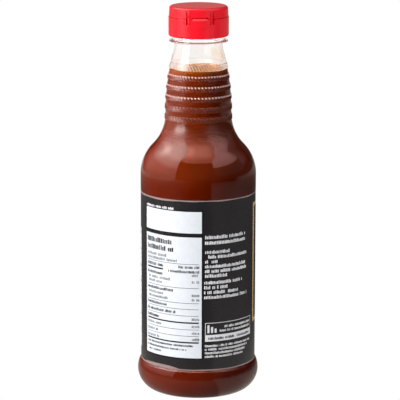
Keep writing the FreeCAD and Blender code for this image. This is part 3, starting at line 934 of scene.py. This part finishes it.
grounds = (("frontField", "goldInk", 0, 1), ("frontGround", "charcoalInk", front["frame"], 2))
for name, ink, edge, layer in grounds:
    sides = (front["left"] + edge, front["right"] - edge)
    printFields(name, ink, [field(*sides, front["low"] + edge, front["high"] - edge, layer)])
printFields("frontOval", "creamInk", [oval(middle, 30, 18, 3)])
stripes = [field(middle - 24 + 4 * n, middle + 24 - 4 * n, 56 - 4 * n, 57.6 - 4 * n, 3) for n in range(4)]
printFields("frontStripes", "goldInk", stripes + [oval(middle, 27, 15.6, 4)])
drops = [oval(middle - 16 + 8 * number, 3.0, 7, 5, 0.4) for number in range(5)]
printFields("frontDrops", "charcoalInk", drops)
side = {"left": -76.0, "right": -46.0}
sidePanel = field(side["left"], side["right"], panel["tableLow"], panel["tableHigh"])
printFields("sidePanel", "whiteInk", [sidePanel])
sideRows = [(side["left"] + 1.5, side["right"] - 1.5 - 6 * (row % 3), 92 - 3.2 * row, 1.7) for row in range(20)]
printLines("sidePanelText", "greyInk", sideRows, spacing=0.55, gaps=0.13, seed=31)
print("label made")


# the cap

capLooks = {"red": ((0.68, 0.0008, 0.0105), (0.71, 0.001, 0.012)), "roughness": (0.22, 0.26)}
capPlastic, tree, gloss = shader("capPlastic", Specular_IOR_Level=0.5, IOR=1.5)
tone = tinted(spread(grain(tree, 5, 3)), *capLooks["red"])
wired(gloss, Base_Color=tone, Roughness=spread(grain(tree, 2.5, 4), *capLooks["roughness"]))
dented(gloss, grain(tree, 1.2, 2, (1, 1, 0.15)), 0.008, 0.2)
for nodeName in ("cap_base", "cap_lid"):
    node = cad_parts[nodeName]
    node.data.materials.clear()
    node.data.materials.append(capPlastic)

hinge = {
    "turn": 3.2,  # degrees from the back, to the right
    "parting": 217.0,
    "capRadius": 17.15,
    "thick": 0.32,
    "strapHalf": 15.0,
    "strapLow": 0.7,
    "strapHigh": 1.1,
    "strapBlend": 0.6,  # a reach from the parting line
    "lip": 0.38,
    "lean": 0.95,
    "leanFrom": -0.6,
    "hornAt": 0.75,  # share of half the strap
    "hornWide": 0.16,
    "webTurn": 23.2,
    "webHalf": 4.5,
    "webLow": 3.1,
    "webHigh": 4.8,
    "webBlend": 1.6,
    "ridge": 0.95,
    "ridgeAt": 0.15,
    "foldHeights": (-3.1, -2.1, -0.6, 0, 0.6, 1.9, 3.9, 4.8),
    "foldDepths": (0.0, 0.55, 0.4, 0.6, 0.35, 0.0, 0.85, 0.95),
}


def hingeStrip(name, centre, half, low, high, face, columns=16, rows=14):
    # a thin strip on the cap's side from low to high; face(across, up) gives its radius,
    # with across from -1 to 1 and up in millimetres from the parting line
    points, faces = [], []
    for row in range(rows + 1):
        for column in range(columns + 1):
            across = 2 * column / columns - 1
            top = high(across) if callable(high) else high
            up = -low + (top + low) * row / rows
            angle = math.radians(hinge["turn"] + centre + half * across)
            for inward in (0, hinge["thick"]):
                r = face(across, up) - inward
                points.append((r * math.sin(angle), -r * math.cos(angle), hinge["parting"] + up))
    width = (columns + 1) * 2

    def at(row, column, inner):
        return row * width + column * 2 + inner

    def rim(start, end, flip):
        edge = [at(*start, 0), at(*end, 0), at(*end, 1), at(*start, 1)]
        faces.append(edge[::-1] if flip else edge)

    for row in range(rows):
        for column in range(columns):
            corners = ((row, column), (row, column + 1), (row + 1, column + 1), (row + 1, column))
            faces.append([at(*corner, 0) for corner in corners])
            faces.append([at(*corners[turn], 1) for turn in (0, 3, 2, 1)])
        rim((row, 0), (row + 1, 0), False)
        rim((row, columns), (row + 1, columns), True)
    for column in range(columns):
        rim((0, column), (0, column + 1), True)
        rim((rows, column), (rows, column + 1), False)
    return newPiece(name, points, faces, 50)


def strapFace(across, up):
    # a slope that leans back from its lower lip
    return hinge["capRadius"] + hinge["lip"] - hinge["lean"] * max(0.0, up - hinge["leanFrom"])


def strapTop(across):
    # horns near both ends
    horn = math.exp(-((abs(across) - hinge["hornAt"]) / hinge["hornWide"]) ** 2)
    return min(hinge["strapHigh"] * (0.5 + 0.5 * horn), 6 * (1 - abs(across)) - 0.1)


def webFace(across, up):
    # a folded strip: a ridge down its middle, cut by slopes near its foot and its top
    heights, depths = hinge["foldHeights"], hinge["foldDepths"]
    depth = depths[-1]
    for low, high, first, last in zip(heights, heights[1:], depths, depths[1:]):
        if up <= high:
            depth = first + (last - first) * (up - low) / (high - low)
            break
    ridge = 1 - abs(across - hinge["ridgeAt"])
    return hinge["capRadius"] - hinge["ridge"] + max(0.0, (hinge["ridge"] - depth) * ridge)


web = (hinge["webHalf"], hinge["webLow"], hinge["webHigh"], webFace)
strips = {
    "hinge_strap": hingeStrip("hingeStrap", 0, hinge["strapHalf"], hinge["strapLow"], strapTop, strapFace, 28),
    "hinge_web_left": hingeStrip("hingeWebLeft", -hinge["webTurn"], *web),
    "hinge_web_right": hingeStrip("hingeWebRight", hinge["webTurn"], *web),
}
for nodeName, piece in strips.items():
    place(piece, capPlastic, "cap_plastic", body=None, stands=[nodeName])
    reach = hinge["strapBlend"] if nodeName == "hinge_strap" else hinge["webBlend"]
    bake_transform(piece)
print("cap made")


# the surroundings

floorLooks = {
    "pale": 0.8,
    "glow": (1, 0.95, 0.86, 1),
    # each zone comes in between two turns, and shows that bright in gloss
    "left": (-0.2, -0.85, 0.16),
    "right": (0.42, 0.46, 0.3),
    "rightFar": (1.3, 1.6, 0.3),
    "rightFades": (1.4, 2.2),
    "leftFar": (0.0, -1.0, 0.36),
    "leftCorner": (-1.06, 0.24),
    "dim": 0.3,  # what is left where a zone fades
    "close": 0.28,
    "closeReach": (0.08, 0.2),  # metres from the bottle
    "farFrom": (0.6, 1.0),
    "reach": (1.25, 1.3),
}


def backdropSeen(tree):
    # 1 where a ray to the camera shows the backdrop, also straight through clear plastic,
    # and 1 where a ray comes from gloss
    rays = newNode(tree, "ShaderNodeLightPath").outputs
    inside = calc("GREATER_THAN", rays["Transmission Depth"], 0.5)
    inside = product(inside, rays["Is Glossy Ray"])
    through = calc("MAXIMUM", rays["Is Transmission Ray"], inside)
    direct = calc("LESS_THAN", rays["Diffuse Depth"], 0.5)
    seen = calc("MAXIMUM", rays["Is Camera Ray"], product(through, direct))
    return seen, rays["Is Glossy Ray"]


floorMaterial, tree = bareMaterial("paleFloor")
seen, inGloss = backdropSeen(tree)
where, east, north = placeIn(tree)[:3]
# radians round the bottle: 0 in front of it, more to the right, less to the left
turn = calc("ARCTAN2", east, product(north, -1.0))
away = vector("LENGTH", {0: where}, "Value")


def zone(name):
    start, end, bright = floorLooks[name]
    return mapped(turn, start, end, 0.0, bright)


right = zone("right")
right = product(right, mapped(turn, *floorLooks["rightFades"], 1.0, floorLooks["dim"]))
left = zone("left")
nearShine = product(calc("ADD", right, left), mapped(away, *floorLooks["reach"], 1.0, floorLooks["dim"]))
leftFar = zone("leftFar")
cornerFrom, cornerBright = floorLooks["leftCorner"]
leftCorner = product(calc("LESS_THAN", turn, cornerFrom), cornerBright)
rightFar = zone("rightFar")
farShine = calc("ADD", calc("ADD", leftFar, leftCorner), rightFar)
shine = between(mapped(away, *floorLooks["farFrom"]), nearShine, farShine)
shine = calc("ADD", shine, mapped(away, *floorLooks["closeReach"], floorLooks["close"], 0.0))
matt = add(tree, "ShaderNodeBsdfDiffuse", {"Color": (floorLooks["pale"],) * 3 + (1,)})
glow = fed("ShaderNodeEmission", {"Color": floorLooks["glow"], "Strength": shine})
white = add(tree, "ShaderNodeEmission", {"Color": (1, 1, 1, 1), "Strength": 1.0})
surfaced(mixedShader(seen, mixedShader(inGloss, matt, glow), white))
corners = [(-3000, -3000, -0.1), (3000, -3000, -0.1), (3000, 3000, -0.1), (-3000, 3000, -0.1)]
floor = newPiece("floor", corners, [[0, 1, 2, 3]])
floor.data.materials.append(floorMaterial)

surroundings = {
    "ambient": 0.68,  # what soft light from all round gives
    "mirrored": 0.04,  # how light the room looks in gloss
}
world = bpy.data.worlds.new("studio")
bpy.context.scene.world = world
world.use_nodes = True
tree = world.node_tree
tree.nodes.clear()
seen, inGloss = backdropSeen(tree)
strength = between(seen, between(inGloss, surroundings["ambient"], surroundings["mirrored"]), 1.0)
background = fed("ShaderNodeBackground", {"Color": (1, 1, 1, 1), "Strength": strength})
newNode(tree, "ShaderNodeOutputWorld", {"Surface": background})

# soft lamps, which don't show in gloss: width, height, strength, azimuth, elevation and distance
shoulder = 0.14  # metres up, where lamps and screens are centred
lamps = {
    "key": (0.8, 0.6, 11.6, -64, 8, 1.2),
    "fill": (0.8, 0.6, 2.0, 45, 8, 1.2),
    "above": (0.8, 0.8, 2.0, 0, 90, 1.26),
}


def roundShoulder(azimuth, elevation, distance):
    # a place in metres
    across, up = math.radians(azimuth), math.radians(elevation)
    flat = distance * math.cos(up)
    return Vector((flat * math.sin(across), -flat * math.cos(across), shoulder + distance * math.sin(up)))


for name, (width, tall, strength, azimuth, elevation, distance) in lamps.items():
    light = bpy.data.lights.new(name, "AREA")
    light.shape = "RECTANGLE"
    light.size, light.size_y = width, tall
    light.energy = strength * math.pi * width * tall
    lamp = linked(name, light)
    lamp.visible_glossy = False
    lamp.location = roundShoulder(azimuth, elevation, distance)
    toward = Vector((0, 0, shoulder)) - lamp.location
    lamp.rotation_euler = toward.to_track_quat("-Z", "Y").to_euler()

screenGlow, tree = bareMaterial("screenGlow")
glowColor = add(tree, "ShaderNodeAttribute", result="Color", attribute_name="glow")
surfaced(fed("ShaderNodeEmission", {"Color": glowColor, "Strength": 1.0}))


def screen(name, fromAzimuth, toAzimuth, fromElevation, toElevation, glowAt, away=1.0):
    # a curved studio screen round the shoulder that only shows in gloss
    # glowAt(azimuth, elevation) gives its colour
    points, faces, colors = [], [], []
    columns, rows = 48, 40
    for row in range(rows + 1):
        for column in range(columns + 1):
            azimuth = fromAzimuth + (toAzimuth - fromAzimuth) * column / columns
            elevation = fromElevation + (toElevation - fromElevation) * row / rows
            points.append(tuple(roundShoulder(azimuth, elevation, away) / mm))
            colors += [*glowAt(azimuth, elevation), 1.0]
    for row in range(rows):
        for column in range(columns):
            at = row * (columns + 1) + column
            faces.append([at, at + 1, at + columns + 2, at + columns + 1])
    piece = newPiece(name, points, faces)
    glows = piece.data.attributes.new("glow", "FLOAT_COLOR", "POINT")
    glows.data.foreach_set("color", colors)
    piece.data.materials.append(screenGlow)
    for ray in ("camera", "diffuse", "transmission", "shadow", "volume_scatter"):
        setattr(piece, f"visible_{ray}", False)


def ramp(value, low, high):
    share = max(0.0, min(1.0, (value - low) / (high - low)))
    return share * share * (3 - 2 * share)


def blob(azimuth, elevation, atAzimuth, atElevation, wide, tall):
    return math.exp(-((azimuth - atAzimuth) / wide) ** 2 - ((elevation - atElevation) / tall) ** 2)


# how bright each screen is: climbs add (gain, low, high) with the elevation, softboxes are
# (gain, azimuth, elevation, width, height), and fades multiply by (first, last, low, high)
leftLooks = {
    "level": 0.55,
    "climbs": ((0.45, -6, 16), (2.0, 16, 34), (2.2, 34, 50)),
    "softboxes": ((3.0, -110, 43, 12, 9), (2.5, -57, 47, 4, 3)),
    "sideFades": ((0.15, 1, -148, -112), (1, 0.7, -66, -46)),
    "upFades": ((1, 0.6, 58, 80),),
    "tint": (1.2, 1, 0.93),
    "warmth": (0.7, -10, 20),
}
topLooks = {
    "level": 0.75,
    "climbs": ((1.3, 46, 70),),
    "sideFades": ((1, 1.6, 0, -45), (1, 0.1, 25, 105)),
    "tint": (2.6, 1, 0.75),
    "edge": 1.6,  # a bright lower edge
    "edgeUp": (43.6, 44.6),  # elevations and azimuths over which it ends
    "edgeSide": (25, 45),
    "edgeTint": (2, 0.8, 0.5),
}
rightLooks = {
    "level": 1.3,
    "climbs": ((0.45, 30, 50),),
    "sideFades": ((1, 0.65, 84, 104),),
    "tint": (1.9, 1, 0.95),
    "low": 28,
    "under": 0.12,
    "far": 106,
    "wall": 0.3,  # the faint wall beyond it, and where that fades out and comes in
    "wallFades": (106, 140),
    "wallRises": (6, 20),
    "wallTint": (1.6, 1, 1),
    "slant": (44, 0.55, 33),  # its top at the near side, how steeply that climbs, and where the near side is
}


def glowOf(looks, azimuth, elevation):
    level = looks["level"] + sum(gain * ramp(elevation, *span) for gain, *span in looks["climbs"])
    level += sum(gain * blob(azimuth, elevation, *box) for gain, *box in looks.get("softboxes", ()))
    for key, value in (("sideFades", azimuth), ("upFades", elevation)):
        for first, last, *span in looks.get(key, ()):
            level *= first + (last - first) * ramp(value, *span)
    return [level * part for part in looks["tint"]]


def leftGlow(azimuth, elevation):
    red, green, blue = glowOf(leftLooks, azimuth, elevation)
    gain, *span = leftLooks["warmth"]
    return red + gain * ramp(elevation, *span), green, blue


def topGlow(azimuth, elevation):
    edge = topLooks["edge"] * (1 - ramp(elevation, *topLooks["edgeUp"]))
    edge *= 1 - ramp(azimuth, *topLooks["edgeSide"])
    return [a + edge * b for a, b in zip(glowOf(topLooks, azimuth, elevation), topLooks["edgeTint"])]


def rightGlow(azimuth, elevation):
    # a tall panel cut slanting at its near top corner, and a faint wall beside it
    top, climb, nearSide = rightLooks["slant"]
    if azimuth > rightLooks["far"]:
        fade = 1 - ramp(azimuth, *rightLooks["wallFades"])
        level = rightLooks["wall"] * fade * ramp(elevation, *rightLooks["wallRises"])
        return [level * part for part in rightLooks["wallTint"]]
    if elevation < rightLooks["low"]:
        return (rightLooks["under"],) * 3
    if elevation > top + climb * (azimuth - nearSide):
        return topGlow(azimuth, elevation)
    return glowOf(rightLooks, azimuth, elevation)


def backGlow(azimuth, elevation):
    return 0.3, 0.28, 0.27


screen("leftScreen", -150, -46, -6, 84, leftGlow)
screen("topScreen", -46, 33, 43.4, 86, topGlow)
screen("rightScreen", 33, 140, 6, 84, rightGlow, 0.98)
screen("backScreen", 166, 194, 0, 30, backGlow)

view = {"distance": 1.299, "height": 0.384, "side": 0.00102, "down": 11.88, "roll": 0.141, "lens": 207.8}
camera = linked("camera", bpy.data.cameras.new("camera"))
camera.data.lens = view["lens"]
camera.data.sensor_width = 36
camera.location = (view["side"], -view["distance"], view["height"])
level = Euler((math.radians(90 - view["down"]), 0, 0)).to_matrix()
camera.rotation_euler = (level @ Matrix.Rotation(math.radians(view["roll"]), 3, "Z")).to_euler()
bpy.context.scene.camera = camera
bpy.context.scene.view_settings.view_transform = "Standard"
print("surroundings made")
